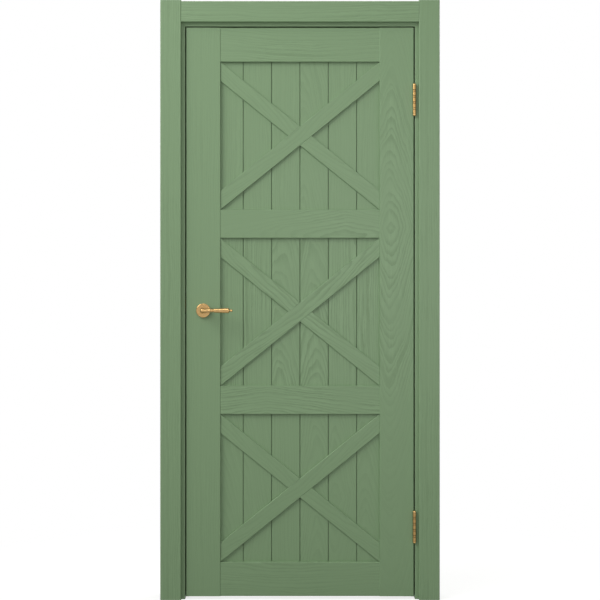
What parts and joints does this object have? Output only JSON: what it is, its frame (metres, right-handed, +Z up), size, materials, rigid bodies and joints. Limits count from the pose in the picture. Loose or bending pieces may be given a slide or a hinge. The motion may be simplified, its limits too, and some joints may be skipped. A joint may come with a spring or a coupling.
{
  "type": "interior door set",
  "caption": "Interior door leaf with boarded, cross-braced panels and lever handles, hung on bearing hinges in a rebated frame with flat casings.",
  "frame": {"origin": "on the floor, midway across the leaf and in the middle of its thickness", "axes": "+X along the wall to the hinge side, +Y through the wall away from the side the door opens to, +Z up"},
  "size_m": [0.98, 0.1538, 2.104],
  "materials": {
    "sage_paint": "painted satin",
    "satin_gold": "satin",
    "zinc_steel": "zinc plated",
    "black_seal": "matt",
    "beech": "raw"
  },
  "bodies": {
    "frame": {"strike_jamb": "sage_paint", "hinge_jamb": "sage_paint", "head_jamb": "sage_paint", "front_casing_left": "sage_paint", "front_casing_right": "sage_paint", "front_casing_head": "sage_paint", "back_casing_left": "sage_paint", "back_casing_right": "sage_paint", "back_casing_head": "sage_paint", "seal_strike_side": "black_seal", "seal_hinge_side": "black_seal", "seal_head": "black_seal", "strike_plate": "satin_gold", "strike_magnet": "zinc_steel", "strike_screws": "satin_gold", "upper_hinge_frame_plate": "satin_gold", "lower_hinge_frame_plate": "satin_gold", "hinge_pins": "satin_gold", "hinge_pin_caps": "satin_gold", "hinge_bearings": "satin_gold", "frame_hinge_screws": "satin_gold", "frame_corner_screws": "zinc_steel"},
    "leaf": {"lock_stile": "sage_paint", "hinge_stile": "sage_paint", "top_rail": "sage_paint", "upper_middle_rail": "sage_paint", "lower_middle_rail": "sage_paint", "bottom_rail": "sage_paint", "rail_dowels": "beech", "upper_boards": "sage_paint", "middle_boards": "sage_paint", "lower_boards": "sage_paint", "front_upper_brace_rising": "sage_paint", "front_upper_brace_falling": "sage_paint", "front_middle_brace_rising": "sage_paint", "front_middle_brace_falling": "sage_paint", "front_lower_brace_rising": "sage_paint", "front_lower_brace_falling": "sage_paint", "back_upper_brace_rising": "sage_paint", "back_upper_brace_falling": "sage_paint", "back_middle_brace_rising": "sage_paint", "back_middle_brace_falling": "sage_paint", "back_lower_brace_rising": "sage_paint", "back_lower_brace_falling": "sage_paint", "lock_case": "zinc_steel", "lock_forend": "satin_gold", "lock_screws": "satin_gold", "front_rose": "satin_gold", "back_rose": "satin_gold", "rose_bases": "zinc_steel", "rose_bolts": "zinc_steel", "upper_hinge_leaf_plate": "satin_gold", "lower_hinge_leaf_plate": "satin_gold", "leaf_hinge_screws": "satin_gold"},
    "handle": {"front_lever": "satin_gold", "back_lever": "satin_gold", "spindle": "zinc_steel", "follower": "zinc_steel", "lever_grub_screws": "zinc_steel"},
    "latch": {"latch_bolt": "satin_gold"}
  },
  "joints": [
    {"name": "leaf_swing", "type": "hinge", "parent": "frame", "child": "leaf", "pos_m": [0.402, -0.027, 0], "axis": [0, 0, 1], "range_deg": [0, 170]},
    {"name": "lever_turn", "type": "hinge", "parent": "leaf", "child": "handle", "pos_m": [-0.34, 0, 1.015], "axis": [0, 1, 0], "range_deg": [0, 40], "stiffness_Nm_per_rad": 0.6, "springref_deg": -45.84},
    {"name": "latch_slide", "type": "slide", "parent": "leaf", "child": "latch", "axis": [-1, 0, 0], "range_m": [0, 0.012], "stiffness_N_per_m": 30, "springref_m": -0.005}
  ]
}
